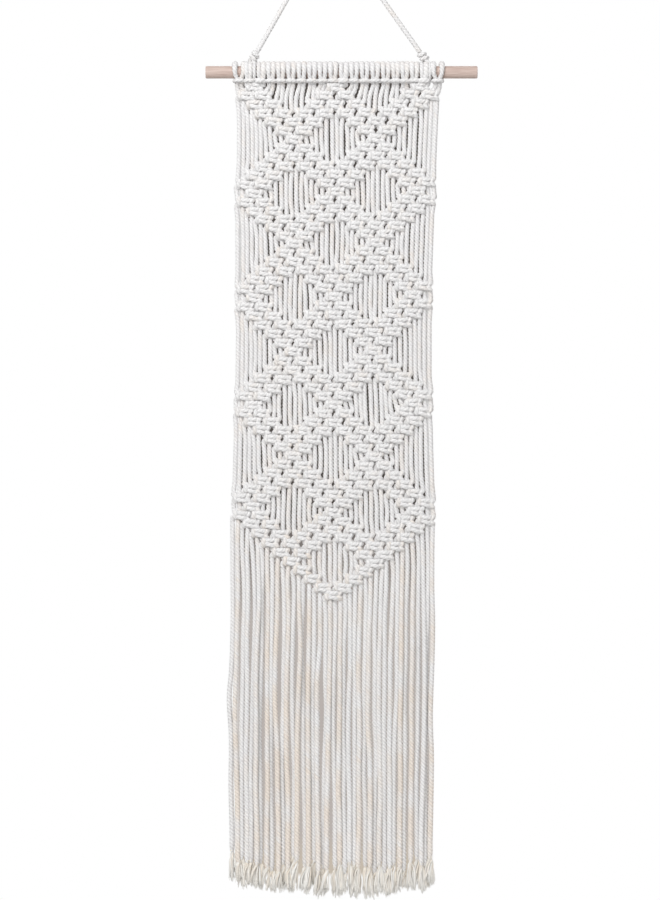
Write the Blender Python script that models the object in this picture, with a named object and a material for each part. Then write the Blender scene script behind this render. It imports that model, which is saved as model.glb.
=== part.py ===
"""Macrame wall hanging: a knotted cotton panel with a long fringe on a wooden rod.

Frame: the origin is where the hanger cord bears on its hook, +Z is up and +X runs along
the rod. The front faces -Y. Every cord hangs in or near the plane Y = 0, under the hook.
"""

import math
from collections import namedtuple

import bmesh
import bpy
from mathutils import Vector

MM = 0.001
SEAT_GAP = 0.3 * MM  # between pieces that touch on the real object

# Colours and roughness
PALE_WOOD = (0.78, 0.57, 0.43)
COTTON = (0.83, 0.80, 0.76)
FRINGE_COTTON = (0.83, 0.79, 0.74)
WOOD_ROUGHNESS = 0.55
COTTON_ROUGHNESS = 0.9

# Rod
ROD_LENGTH = 330 * MM
ROD_DIAMETER = 15 * MM
ROD_EDGE = 0.6 * MM  # rounding of the sawn ends
ROD_DROP = 166.5 * MM  # from the hook down to the rod's axis
ROD_SHIFT = 13.5 * MM  # from the hook sideways to the rod's middle
ROD_SIDES = 40

# Cord
CORD_DIAMETER = 5 * MM
STRANDS = 40  # twenty cords, each folded in two over the rod
PAIRS = STRANDS // 2

# Heading: the twenty hitches that hold the cords on the rod
HEADING_LEFT = -118.3 * MM
HEADING_RIGHT = 138.8 * MM
HITCH_PITCH = (HEADING_RIGHT - HEADING_LEFT) / PAIRS
WRAP_DEPTH = 4.4 * MM  # how far a wrap stands off the rod
WRAP_GROOVE = 1.2 * MM  # how much less between two hitches
BAR_DEPTH = 2.0 * MM  # how far the front bar of a hitch stands off its wraps
BAR_ANGLE = math.radians(28)  # from straight down towards the front
BAR_SPREAD = math.radians(32)
HEADING_SIDES = 24

# Knotted panel
KNOT_DEPTH = 13 * MM
STRAND_DEPTH = 5.4 * MM
BESIDE_KNOT_DEPTH = 9.5 * MM
KNOT_HALF_HEIGHT = 5.4 * MM
GAP_WIDTH = 5 * MM
GAP_HEIGHT = 7 * MM
DIAMOND_ROWS = 12  # knot rows in one repeat of the diamonds
DIAMOND_PAIRS = 8  # pairs of strands across one diamond
FIRST_DIAMOND = 2  # the boundary between pairs that the first diamond is centred on
POINT_STARTS = 48  # the knot row where the pointed lower edge begins

# Fringe
TINE_WIDTH = 4.6 * MM
BRUSH_WIDTH = 5.6 * MM
BRUSH_DEPTH = 9 * MM
BRUSH_LENGTH = 38 * MM
SPINE_HEIGHT = 6 * MM
TINE_LEVELS = 4
TINE_LEAN = 0.45 * MM

# Hanger cord and its two knots
KNOT_SIZE = Vector((11, 10, 15)) * MM
LEFT_KNOT_AFTER = 2  # hitches, counted from the left: the knot sits in the next groove
RIGHT_KNOT_AFTER = 18
POINT_SPACING = 2 * CORD_DIAMETER

# Knot rows, measured down from the rod's axis
Level = namedtuple("Level", "row drop")
ROW_LEVELS = [
    Level(0, 18.5 * MM),
    Level(6, 81.8 * MM),
    Level(12, 145.4 * MM),
    Level(18, 207.4 * MM),
    Level(24, 272.6 * MM),
    Level(30, 339.1 * MM),
    Level(36, 403.8 * MM),
    Level(42, 466.0 * MM),
    Level(48, 531.0 * MM),
    Level(54, 594.4 * MM),
    Level(58, 635.3 * MM),
]

# Side edges of the panel and the fringe, measured from the hook
Width = namedtuple("Width", "drop left right")
SIDE_EDGES = [
    Width(0 * MM, -114.0 * MM, 134.5 * MM),
    Width(18.5 * MM, -113.5 * MM, 133.2 * MM),
    Width(94.4 * MM, -114.1 * MM, 129.5 * MM),
    Width(143.0 * MM, -115.3 * MM, 127.7 * MM),
    Width(191.6 * MM, -114.7 * MM, 125.9 * MM),
    Width(264.5 * MM, -114.7 * MM, 123.4 * MM),
    Width(398.2 * MM, -115.9 * MM, 123.4 * MM),
    Width(459.0 * MM, -117.7 * MM, 124.7 * MM),
    Width(525.7 * MM, -119.6 * MM, 127.1 * MM),
    Width(641.2 * MM, -120.8 * MM, 128.3 * MM),
    Width(762.7 * MM, -123.2 * MM, 127.1 * MM),
    Width(884.2 * MM, -122.0 * MM, 125.9 * MM),
    Width(944.9 * MM, -120.8 * MM, 124.7 * MM),
    Width(1010.0 * MM, -122.5 * MM, 126.5 * MM),
]

# Lower ends of the strands, as unevenly cut
Cut = namedtuple("Cut", "strand drop")
CUT_LINE = [
    Cut(0, 981 * MM),
    Cut(2, 989 * MM),
    Cut(6, 994 * MM),
    Cut(14, 994 * MM),
    Cut(16, 1000 * MM),
    Cut(22, 999 * MM),
    Cut(27, 1001 * MM),
    Cut(31, 999 * MM),
    Cut(34, 993 * MM),
    Cut(37, 996 * MM),
    Cut(39, 988 * MM),
]

# Route of the hanger cord, from the left knot over the hook to the right knot
Bend = namedtuple("Bend", "x z")
HANGER_ROUTE = [
    Bend(-89.0 * MM, -141.6 * MM),
    Bend(-69.7 * MM, -107.7 * MM),
    Bend(-49.9 * MM, -72.9 * MM),
    Bend(-30.1 * MM, -38.2 * MM),
    Bend(-17.8 * MM, -16.4 * MM),
    Bend(-10.3 * MM, -3.4 * MM),
    Bend(-6.0 * MM, 0.9 * MM),
    Bend(0.0 * MM, 2.5 * MM),
    Bend(5.6 * MM, 1.1 * MM),
    Bend(9.8 * MM, -2.5 * MM),
    Bend(18.5 * MM, -14.8 * MM),
    Bend(35.8 * MM, -39.2 * MM),
    Bend(59.0 * MM, -71.8 * MM),
    Bend(82.2 * MM, -104.5 * MM),
    Bend(108.9 * MM, -142.1 * MM),
]


def between(table, key, wanted, at):
    """Reads a column of a table at a place between its rows."""
    for low, high in zip(table, table[1:]):
        start, end = getattr(low, key), getattr(high, key)
        if at <= end or high is table[-1]:
            share = min(1.0, max(0.0, (at - start) / (end - start)))
            return getattr(low, wanted) * (1 - share) + getattr(high, wanted) * share


def material(name, colour, roughness, metallic=0.0):
    """A plain principled material."""
    made = bpy.data.materials.new(name)
    made.use_nodes = True
    shader = made.node_tree.nodes["Principled BSDF"]
    shader.inputs["Base Color"].default_value = (*colour, 1.0)
    shader.inputs["Roughness"].default_value = roughness
    shader.inputs["Metallic"].default_value = metallic
    return made


def add_object(name, data, finish):
    """Links a mesh or curve into the scene under a sub-part's name."""
    made = bpy.data.objects.new(name, data)
    bpy.context.scene.collection.objects.link(made)
    data.materials.append(finish)
    return made


def mesh_from(name, shape):
    """Turns a bmesh into a mesh with its faces pointing out."""
    bmesh.ops.recalc_face_normals(shape, faces=shape.faces)
    mesh = bpy.data.meshes.new(name)
    shape.to_mesh(mesh)
    shape.free()
    return mesh


def round_off(mesh):
    """Shades a round piece smooth and keeps its crisp edges."""
    mesh.shade_smooth()
    mesh.set_sharp_from_angle(angle=math.radians(40))


# ---- The knot chart ---------------------------------------------------------------------


def last_row(boundary):
    """The lowest knot row at a boundary between pairs: the panel ends in a point."""
    return POINT_STARTS + max(1, min(boundary, PAIRS - boundary))


def knotted(boundary, row):
    """True where the chart has a square knot, tied with the pairs on both sides.

    The knots stand in double diagonal rows that cross, which leaves diamonds of loose
    strands. fold counts rows from the middle of a diamond, and aside counts pairs.
    """
    if not (0 < boundary < PAIRS and 0 <= row <= last_row(boundary)):
        return False
    fold = min(row % DIAMOND_ROWS, DIAMOND_ROWS - row % DIAMOND_ROWS)
    aside = (boundary - FIRST_DIAMOND) % DIAMOND_PAIRS
    aside = min(aside, DIAMOND_PAIRS - aside)
    outermost = boundary in (1, PAIRS - 1)
    return aside == fold or (aside == fold - 2 and not outermost)


def open_gap(boundary, row):
    """True at the head or foot of a diamond, where the net's largest gaps are."""
    beside = knotted(boundary - 1, row) and knotted(boundary + 1, row)
    return beside and knotted(boundary, row - 1) != knotted(boundary, row + 1)


def row_drop(row):
    """How far a knot row lies below the rod's axis."""
    return between(ROW_LEVELS, "row", "drop", row)


def strand_x(strand, drop):
    """A strand's place between the two side edges."""
    left = between(SIDE_EDGES, "drop", "left", drop) + CORD_DIAMETER / 2
    right = between(SIDE_EDGES, "drop", "right", drop) - CORD_DIAMETER / 2
    return left + (right - left) * strand / (STRANDS - 1)


def boundary_x(boundary, drop):
    """The line between two pairs of strands, or the cloth's own edge."""
    if boundary == 0:
        return between(SIDE_EDGES, "drop", "left", drop)
    if boundary == PAIRS:
        return between(SIDE_EDGES, "drop", "right", drop)
    return strand_x(2 * boundary - 0.5, drop)


def point_edge_drop(boundary):
    """How far the panel's pointed lower edge lies below the rod's axis."""
    return row_drop(last_row(boundary)) + KNOT_HALF_HEIGHT


# ---- Solids of cloth --------------------------------------------------------------------


def cloth_solid(name, places, depths, faces, finish):
    """One closed solid from a sheet of faces, each point as thick as its depth says.

    places maps a key to (x, z), depths maps it to a thickness, and faces are lists of keys
    that run anticlockwise as seen from the front.
    """
    shape = bmesh.new()
    front = {}
    back = {}
    for key in dict.fromkeys(k for face in faces for k in face):
        x, z = places[key]
        front[key] = shape.verts.new((x, -depths[key] / 2, z))
        back[key] = shape.verts.new((x, depths[key] / 2, z))
    edges = dict.fromkeys((face[i - 1], face[i]) for face in faces for i in range(len(face)))
    for face in faces:
        shape.faces.new([front[key] for key in face])
        shape.faces.new([back[key] for key in reversed(face)])
    for start, end in edges:
        if (end, start) not in edges:
            shape.faces.new([front[end], front[start], back[start], back[end]])
    return add_object(name, mesh_from(name, shape), finish)


def knot_depth(boundary, row):
    """How thick the net is at a crossing of the chart."""
    if knotted(boundary, row):
        return KNOT_DEPTH
    if knotted(boundary - 1, row) or knotted(boundary + 1, row):
        return BESIDE_KNOT_DEPTH
    return STRAND_DEPTH


def build_panel(top_drop, finish):
    """The knotted net: thick along its knots, thin where strands hang loose."""
    places = {}
    depths = {}

    def put(key, x, drop, depth):
        places[key] = (x, -ROD_DROP - drop)
        depths[key] = depth

    for boundary in range(PAIRS + 1):
        put((boundary, -1, ""), boundary_x(boundary, top_drop), top_drop, STRAND_DEPTH)
        for row in range(last_row(boundary) + 1):
            drop = row_drop(row)
            x = boundary_x(boundary, drop)
            depth = knot_depth(boundary, row)
            put((boundary, row, ""), x, drop, depth)
            if open_gap(boundary, row):
                put((boundary, row, "left"), x - GAP_WIDTH / 2, drop, depth)
                put((boundary, row, "right"), x + GAP_WIDTH / 2, drop, depth)
                put((boundary, row, "above"), x, drop - GAP_HEIGHT / 2, depth)
                put((boundary, row, "below"), x, drop + GAP_HEIGHT / 2, depth)
        drop = point_edge_drop(boundary)
        put((boundary, "edge", ""), boundary_x(boundary, drop), drop, STRAND_DEPTH)

    def corner(boundary, row, *sides):
        if row != -1 and open_gap(boundary, row):
            return [(boundary, row, side) for side in sides]
        return [(boundary, row, "")]

    faces = []
    for left in range(PAIRS):
        right = left + 1
        shared = min(last_row(left), last_row(right))
        for row in range(-1, shared):
            faces.append(
                corner(left, row, "right", "below")
                + corner(left, row + 1, "above", "right")
                + corner(right, row + 1, "left", "above")
                + corner(right, row, "below", "left")
            )
        down = [(left, row, "") for row in range(shared, last_row(left) + 1)]
        up = [(right, row, "") for row in range(last_row(right), shared - 1, -1)]
        faces.append(down + [(left, "edge", ""), (right, "edge", "")] + up)
    return cloth_solid("knotted_panel", places, depths, faces, finish)


def tine_x(strand, drop):
    """A hanging strand's middle: each leans a little its own way."""
    lean = TINE_LEAN * math.sin(2.3 * strand) * math.sin(drop * 9 + strand)
    return strand_x(strand, drop) + lean


def build_fringe(finish):
    """The loose strands as one comb, joined just below the panel's pointed edge."""
    places = {}
    depths = {}
    seat = SEAT_GAP * 1.4  # measured straight down, past the sloping edge

    def edge_drop(x):
        """The top of the comb, which follows the panel's lower edge."""
        for low in range(PAIRS):
            drops = [point_edge_drop(b) for b in (low, low + 1)]
            ends = [boundary_x(b, d) for b, d in zip((low, low + 1), drops)]
            if x <= ends[1] or low == PAIRS - 1:
                share = min(1.0, max(0.0, (x - ends[0]) / (ends[1] - ends[0])))
                return drops[0] * (1 - share) + drops[1] * share + seat

    def put(column, level, x, drop, depth):
        places[(column, level)] = (x, -ROD_DROP - drop)
        depths[(column, level)] = depth

    middle_drop = point_edge_drop(PAIRS // 2)
    columns = []
    for strand in range(STRANDS):
        columns += [(strand, "left"), (strand, "right")]
        if strand < STRANDS - 1:
            columns.append((strand, "between"))
    aside = {"left": -TINE_WIDTH / 2, "right": TINE_WIDTH / 2}
    for column in columns:
        strand, side = column
        if side == "between":
            near = edge_drop(strand_x(strand + 0.5, middle_drop))
            x = strand_x(strand + 0.5, near)
            top = edge_drop(x)
            put(column, 0, x, top, STRAND_DEPTH)
            put(column, 1, x, top + SPINE_HEIGHT, STRAND_DEPTH)
            continue
        near = edge_drop(strand_x(strand, middle_drop))
        x = strand_x(strand, near) + aside[side]
        top = edge_drop(x)
        put(column, 0, x, top, STRAND_DEPTH)
        put(column, 1, x, top + SPINE_HEIGHT, STRAND_DEPTH)
        end = between(CUT_LINE, "strand", "drop", strand)
        start = top + SPINE_HEIGHT
        neck = end - BRUSH_LENGTH
        for level in range(2, TINE_LEVELS + 2):
            drop = start + (neck - start) * (level - 1) / TINE_LEVELS
            put(column, level, tine_x(strand, drop) + aside[side], drop, STRAND_DEPTH)
        wide = aside[side] * BRUSH_WIDTH / TINE_WIDTH
        put(column, TINE_LEVELS + 2, tine_x(strand, neck) + wide, end, BRUSH_DEPTH)

    faces = []
    for left, right in zip(columns, columns[1:]):
        faces.append([(left, 0), (left, 1), (right, 1), (right, 0)])
        if left[0] == right[0] and right[1] == "right":
            for level in range(1, TINE_LEVELS + 2):
                below = level + 1
                faces.append([(left, level), (left, below), (right, below), (right, level)])
    return cloth_solid("fringe", places, depths, faces, finish)


# ---- Rod, heading and hanger ------------------------------------------------------------


def build_rod(finish):
    """A plain wooden rod with lightly rounded ends."""
    shape = bmesh.new()
    bmesh.ops.create_cone(
        shape,
        cap_ends=True,
        segments=ROD_SIDES,
        radius1=ROD_DIAMETER / 2,
        radius2=ROD_DIAMETER / 2,
        depth=ROD_LENGTH,
    )
    rims = [e for e in shape.edges if abs(e.verts[0].co.z - e.verts[1].co.z) < MM]
    bmesh.ops.bevel(shape, geom=rims, offset=ROD_EDGE, segments=2, affect="EDGES")
    mesh = mesh_from("wooden_rod", shape)
    round_off(mesh)
    rod = add_object("wooden_rod", mesh, finish)
    rod.rotation_euler = (0, math.pi / 2, 0)
    rod.location = (ROD_SHIFT, 0, -ROD_DROP)
    return rod


def heading_radius(angle, between_hitches):
    """How far the heading reaches from the rod's axis.

    angle is measured from straight down towards the front, where each hitch has its bar.
    """
    radius = ROD_DIAMETER / 2 + WRAP_DEPTH
    if between_hitches:
        radius -= WRAP_GROOVE
    away = (angle - BAR_ANGLE + math.pi) % (2 * math.pi) - math.pi
    return radius + BAR_DEPTH * math.exp(-((away / BAR_SPREAD) ** 2))


def heading_low_point():
    """How far the heading reaches below the rod's axis."""
    angles = [math.radians(a) for a in range(-90, 91)]
    return max(heading_radius(a, False) * math.cos(a) for a in angles)


def build_heading(finish):
    """The row of hitches: one ribbed sleeve round the rod, with the bars in front."""
    shape = bmesh.new()
    stations = [(HEADING_LEFT, True)]
    for hitch in range(PAIRS):
        start = HEADING_LEFT + hitch * HITCH_PITCH
        stations += [(start + 0.5 * HITCH_PITCH, False), (start + HITCH_PITCH, True)]

    def ring(x, radius_at):
        verts = []
        for side in range(HEADING_SIDES):
            angle = 2 * math.pi * side / HEADING_SIDES
            radius = radius_at(angle)
            y = -radius * math.sin(angle)
            z = -ROD_DROP - radius * math.cos(angle)
            verts.append(shape.verts.new((x, y, z)))
        return verts

    bore = ROD_DIAMETER / 2 + SEAT_GAP
    rings = [ring(x, lambda a, g=groove: heading_radius(a, g)) for x, groove in stations]
    rings.append(ring(HEADING_RIGHT, lambda a: bore))
    rings.insert(0, ring(HEADING_LEFT, lambda a: bore))
    for first, second in zip(rings, rings[1:] + rings[:1]):
        for side in range(HEADING_SIDES):
            after = (side + 1) % HEADING_SIDES
            shape.faces.new([first[side], first[after], second[after], second[side]])
    mesh = mesh_from("heading", shape)
    round_off(mesh)
    return add_object("heading", mesh, finish)


def build_hanger_knot(name, hitches, finish):
    """An overhand knot, seated on the heading in the groove after so many hitches."""
    shape = bmesh.new()
    bmesh.ops.create_uvsphere(shape, u_segments=16, v_segments=10, radius=0.5)
    bmesh.ops.scale(shape, vec=KNOT_SIZE, verts=shape.verts)
    mesh = mesh_from(name, shape)
    mesh.shade_smooth()
    knot = add_object(name, mesh, finish)
    rise = heading_radius(math.pi, True) + SEAT_GAP + KNOT_SIZE.z / 2
    knot.location = (HEADING_LEFT + hitches * HITCH_PITCH, 0, -ROD_DROP + rise)
    return knot


def smooth_points(route, spacing):
    """Points an even distance apart on a smooth curve through the route."""
    fine = []
    steps = 24
    ends = [route[0]] + route + [route[-1]]
    for before, start, end, after in zip(ends, ends[1:], ends[2:], ends[3:]):
        for step in range(steps):
            t = step / steps
            fine.append(
                0.5 * (2 * start + (end - before) * t)
                + 0.5 * (2 * before - 5 * start + 4 * end - after) * t**2
                + 0.5 * (3 * start - before - 3 * end + after) * t**3
            )
    fine.append(route[-1])
    lengths = [0.0]
    for start, end in zip(fine, fine[1:]):
        lengths.append(lengths[-1] + (end - start).length)
    count = round(lengths[-1] / spacing)
    picked = []
    index = 0
    for number in range(count + 1):
        goal = lengths[-1] * number / count
        while index < len(fine) - 2 and lengths[index + 1] < goal:
            index += 1
        share = (goal - lengths[index]) / (lengths[index + 1] - lengths[index])
        picked.append(fine[index].lerp(fine[index + 1], share))
    return picked


def build_hanger_cord(finish):
    """The cord that the rod hangs from, tied at both ends and taut over its hook."""
    route = [Vector((bend.x, 0, bend.z)) for bend in HANGER_ROUTE]
    curve = bpy.data.curves.new("hanger_cord", "CURVE")
    curve.dimensions = "3D"
    curve.bevel_depth = CORD_DIAMETER / 2
    curve.bevel_resolution = 3
    curve.use_fill_caps = True
    points = smooth_points(route, POINT_SPACING)
    spline = curve.splines.new("POLY")
    spline.points.add(len(points) - 1)
    for point, place in zip(spline.points, points):
        point.co = (*place, 1.0)
    spline.use_smooth = True
    return add_object("hanger_cord", curve, finish)


for old in list(bpy.data.objects):
    bpy.data.objects.remove(old, do_unlink=True)

build_rod(material("pale_wood", PALE_WOOD, WOOD_ROUGHNESS))
build_heading(material("heading_cotton", COTTON, COTTON_ROUGHNESS))
net_top = heading_low_point() + SEAT_GAP
build_panel(net_top, material("net_cotton", COTTON, COTTON_ROUGHNESS))
build_fringe(material("fringe_cotton", FRINGE_COTTON, COTTON_ROUGHNESS))
build_hanger_cord(material("hanger_cotton", COTTON, COTTON_ROUGHNESS))
for side, hitches in (("left", LEFT_KNOT_AFTER), ("right", RIGHT_KNOT_AFTER)):
    knot_cotton = material(f"{side}_knot_cotton", COTTON, COTTON_ROUGHNESS)
    build_hanger_knot(f"hanger_knot_{side}", hitches, knot_cotton)
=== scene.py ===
"""Macrame wall hanging: three-ply cotton cord hitched over a wooden rod, tied in square knots
and left loose as a long fringe with brushed tips.

Cords are laid out in millimetres. Their meshes, the camera, the wall and the lights are in
metres. +X runs along the rod to the right, -Y faces the room, +Z is up, and the origin is at
the hook. "drop" is the distance below the rod's axis.
"""

import math

import bpy
import numpy as np
from mathutils import Matrix, Vector


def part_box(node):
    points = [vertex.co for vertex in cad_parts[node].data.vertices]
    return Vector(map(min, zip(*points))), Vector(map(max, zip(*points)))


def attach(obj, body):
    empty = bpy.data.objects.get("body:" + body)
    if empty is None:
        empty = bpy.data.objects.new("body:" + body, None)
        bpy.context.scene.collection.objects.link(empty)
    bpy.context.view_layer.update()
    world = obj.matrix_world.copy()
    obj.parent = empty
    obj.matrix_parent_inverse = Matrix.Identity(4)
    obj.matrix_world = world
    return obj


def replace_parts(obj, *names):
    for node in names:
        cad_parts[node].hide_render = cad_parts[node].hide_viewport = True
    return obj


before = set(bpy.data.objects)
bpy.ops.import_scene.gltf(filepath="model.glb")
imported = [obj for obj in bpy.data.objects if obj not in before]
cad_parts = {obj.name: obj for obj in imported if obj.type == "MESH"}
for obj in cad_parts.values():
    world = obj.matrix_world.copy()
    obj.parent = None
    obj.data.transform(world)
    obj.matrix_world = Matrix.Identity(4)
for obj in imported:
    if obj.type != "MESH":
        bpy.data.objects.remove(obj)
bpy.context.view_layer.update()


# ---- Wooden rod -------------------------------------------------------------------------
# A turned rod of beech, sawn to length, sanded and left bare. It carries all the cords, and
# only the grip of their hitches holds it.


def linear(hex_colour):
    """An sRGB hex colour as linear values with alpha."""
    parts = [int(hex_colour[i : i + 2], 16) / 255 for i in (1, 3, 5)]
    return [p / 12.92 if p <= 0.04045 else ((p + 0.055) / 1.055) ** 2.4 for p in parts] + [1.0]


def new_material(name):
    """An empty node material with its output, and its shader wired to it."""
    made = bpy.data.materials.new(name)
    made.use_nodes = True
    return made


def node(owner, kind, links=None, **settings):
    """Adds a node: settings are its properties or, by name or number, its inputs."""
    made = owner.node_tree.nodes.new(kind)
    for key, value in settings.items():
        if hasattr(made, key):
            setattr(made, key, value)
        else:
            made.inputs[key.replace("_", " ")].default_value = value
    for key, source in (links or {}).items():
        owner.node_tree.links.new(source, made.inputs[key])
    return made


def shader_of(owner):
    """The shader that a new material comes with."""
    return owner.node_tree.nodes["Principled BSDF"]


def feed(owner, socket, source):
    """Wires a source into one input of the material's own shader."""
    owner.node_tree.links.new(source, shader_of(owner).inputs[socket])


MM = 0.001
WOOD_LIGHT = "#CEBBB1"
WOOD_DARK = "#B39B91"
FIBRE_WIDTH = 0.9 * MM  # coarser than beech's own, so that it still shows
FIBRE_LENGTH = 28 * MM
FIBRE_RELIEF = 0.1 * MM

# Sanded beech gives the eye a dull, pale pink ground with fine darker fibres along the rod.
wood = new_material("sanded_beech")
wood_place = node(wood, "ShaderNodeTexCoord")
lengthwise = node(wood, "ShaderNodeMapping", {"Vector": wood_place.outputs["Object"]})
lengthwise.inputs["Scale"].default_value = (1 / FIBRE_LENGTH, 1 / FIBRE_WIDTH, 1 / FIBRE_WIDTH)
fibres = node(
    wood,
    "ShaderNodeTexNoise",
    {"Vector": lengthwise.outputs["Vector"]},
    Scale=1.0,
    Detail=4.0,
)
wood_tone = node(wood, "ShaderNodeValToRGB", {"Fac": fibres.outputs["Fac"]})
wood_tone.color_ramp.elements[0].position = 0.35
wood_tone.color_ramp.elements[0].color = linear(WOOD_DARK)
wood_tone.color_ramp.elements[1].position = 0.62
wood_tone.color_ramp.elements[1].color = linear(WOOD_LIGHT)
feed(wood, "Base Color", wood_tone.outputs["Color"])
grain_bump = node(wood, "ShaderNodeBump", {"Height": fibres.outputs["Fac"]}, Strength=0.3)
grain_bump.inputs["Distance"].default_value = FIBRE_RELIEF
feed(wood, "Normal", grain_bump.outputs["Normal"])
shader_of(wood).inputs["Roughness"].default_value = 0.55

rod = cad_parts["wooden_rod"]
rod.data.materials.clear()
rod.data.materials.append(wood)


# ---- Hanger cord ------------------------------------------------------------------------
# One cord from knot to knot, drawn taut over its hook by the weight below. Like all the cord
# here it is natural cotton: three plies laid together like a rope, each ply a bundle of soft
# yarns that lie almost straight along it. Its ends run into knots on the heading.

CORD_RADIUS = 2.75  # mm, over the plies
GROOVE_DEPTH = 0.9  # mm, of the grooves between them where the cord hangs loose
LAY_LENGTH = 13.3  # mm, one full turn of the plies
PLY_SIDES = 3  # of the mesh, for each ply
SIDES = 3 * PLY_SIDES
COTTON_COOL = "#EDECEC"
COTTON_LIGHT = "#F2F1F1"
COTTON_WARM = "#F0E6DC"
# Painted shade: strands that hang a little behind the others are coloured greyer.
COTTON_SHADED_BACK = "#DAD4D1"  # of strands that hang a little behind the others, in their shade
MOTTLE_LENGTH = 38.0  # mm, along the cord from one soft change of tone to the next
FLECK_SIZE = 1.1 * MM  # of the fuzz between yarns, coarser than it is, so that it shows
FLECK_SHADE = 0.8  # how much light such a fleck keeps
YARNS_AROUND = 27  # each 0.64 mm wide, coarser than real yarn, so that they show
YARN_RELIEF = 0.15 * MM
WAVE_BAND = 0.314  # width of one band of a wave texture whose scale is 1
# The shade in the grooves is painted: the cord's colour is darkened where the plies meet.
GROOVE_PAINTED_SHADE = 0.8  # how much light the depth between two plies keeps
DRAWN_TIGHT = 0.72  # how much of a groove is left where the cord is drawn tight

# Three-ply cotton gives the eye a matt off-white, with a slanting groove between its plies,
# fine yarns along them and soft flecks of fuzz. A painted shade darkens the colour in each
# groove. Strands differ a little from cool to warm, and those that hang behind are painted greyer.
cotton = new_material("three_ply_cotton")
lay = node(cotton, "ShaderNodeUVMap", uv_map="lay")
tone = node(cotton, "ShaderNodeAttribute", attribute_name="tone")
mottle = node(
    cotton,
    "ShaderNodeTexNoise",
    {"Vector": lay.outputs["UV"]},
    Scale=LAY_LENGTH / MOTTLE_LENGTH,
    Detail=3.0,
)
warmth = node(
    cotton,
    "ShaderNodeMath",
    {0: tone.outputs["Fac"], 1: mottle.outputs["Fac"]},
    operation="MULTIPLY",
)
dye = node(cotton, "ShaderNodeValToRGB", {"Fac": warmth.outputs["Value"]})
dye.color_ramp.elements[0].position = 0.2
dye.color_ramp.elements[0].color = linear(COTTON_COOL)
dye.color_ramp.elements[1].position = 1.0
dye.color_ramp.elements[1].color = linear(COTTON_WARM)
dye.color_ramp.elements.new(0.5).color = linear(COTTON_LIGHT)
dye.color_ramp.elements.new(0.0).color = linear(COTTON_SHADED_BACK)
solid_place = node(cotton, "ShaderNodeTexCoord")
fuzz = node(
    cotton,
    "ShaderNodeTexNoise",
    {"Vector": solid_place.outputs["Object"]},
    Scale=1 / FLECK_SIZE,
    Detail=2.0,
)
fuzz_shade = node(cotton, "ShaderNodeMapRange", {0: fuzz.outputs["Fac"]})
fuzz_shade.inputs["From Min"].default_value = 0.3
fuzz_shade.inputs["From Max"].default_value = 0.6
fuzz_shade.inputs["To Min"].default_value = FLECK_SHADE
# Painted shade in the grooves between the plies.
groove = node(cotton, "ShaderNodeAttribute", attribute_name="groove")
painted_groove_shade = node(cotton, "ShaderNodeValToRGB", {"Fac": groove.outputs["Fac"]})
painted_groove_shade.color_ramp.elements[0].color = (1.0, 1.0, 1.0, 1.0)
painted_groove_shade.color_ramp.elements[1].color = (*[GROOVE_PAINTED_SHADE] * 3, 1.0)
cord_colour = node(
    cotton,
    "ShaderNodeMix",
    {6: dye.outputs["Color"], 7: painted_groove_shade.outputs["Color"]},
    data_type="RGBA",
    blend_type="MULTIPLY",
)
cord_colour.inputs["Factor"].default_value = 1.0
fuzzy_colour = node(
    cotton,
    "ShaderNodeMix",
    {6: cord_colour.outputs[2], 7: fuzz_shade.outputs["Result"]},
    data_type="RGBA",
    blend_type="MULTIPLY",
)
fuzzy_colour.inputs["Factor"].default_value = 1.0
feed(cotton, "Base Color", fuzzy_colour.outputs[2])
yarn_wave = node(cotton, "ShaderNodeTexWave", {"Vector": lay.outputs["UV"]}, bands_direction="X")
yarn_wave.inputs["Scale"].default_value = WAVE_BAND * YARNS_AROUND
yarn_wave.inputs["Distortion"].default_value = 1.5
yarn_bump = node(cotton, "ShaderNodeBump", {"Height": yarn_wave.outputs["Fac"]}, Strength=0.5)
yarn_bump.inputs["Distance"].default_value = YARN_RELIEF
feed(cotton, "Normal", yarn_bump.outputs["Normal"])
shader_of(cotton).inputs["Roughness"].default_value = 0.92
shader_of(cotton).inputs["Specular IOR Level"].default_value = 0.2
shader_of(cotton).inputs["Sheen Weight"].default_value = 0.12
shader_of(cotton).inputs["Sheen Roughness"].default_value = 0.5


CURVE_STEPS = 12  # from one point of a route to the next


def smooth_line(route, spacing):
    """Points an even distance apart on a Catmull-Rom curve through the route's points."""
    route = np.asarray(route, float)
    ends = np.vstack([2 * route[0] - route[1], route, 2 * route[-1] - route[-2]])
    t = np.linspace(0, 1, CURVE_STEPS, endpoint=False)[None, :, None]
    before, start, end, after = (ends[i : len(ends) - 3 + i, None, :] for i in range(4))
    fine = 0.5 * (
        2 * start
        + (end - before) * t
        + (2 * before - 5 * start + 4 * end - after) * t**2
        + (3 * start - before - 3 * end + after) * t**3
    )
    fine = np.vstack([fine.reshape(-1, route.shape[1]), route[-1]])
    steps = np.linalg.norm(np.diff(fine[:, :3], axis=0), axis=1)
    lengths = np.concatenate([[0], np.cumsum(steps)])
    goals = np.linspace(0, lengths[-1], max(2, round(lengths[-1] / spacing)) + 1)
    return np.column_stack([np.interp(goals, lengths, axis) for axis in fine.T])


def carried_frames(line):
    """For each point of a line, two directions square to it that turn as little as can be."""
    tangents = np.gradient(line, axis=0)
    tangents /= np.linalg.norm(tangents, axis=1)[:, None]
    side = np.cross(tangents[0], (0.0, 1.0, 0.0))
    if np.linalg.norm(side) < 0.1:  # the line sets out along Y
        side = np.cross(tangents[0], (1.0, 0.0, 0.0))
    sides = np.empty_like(line)
    for index, tangent in enumerate(tangents):
        side = side - tangent * (side @ tangent)
        side = side / math.sqrt(side @ side)
        sides[index] = side
    return sides, np.cross(tangents, sides)


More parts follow.
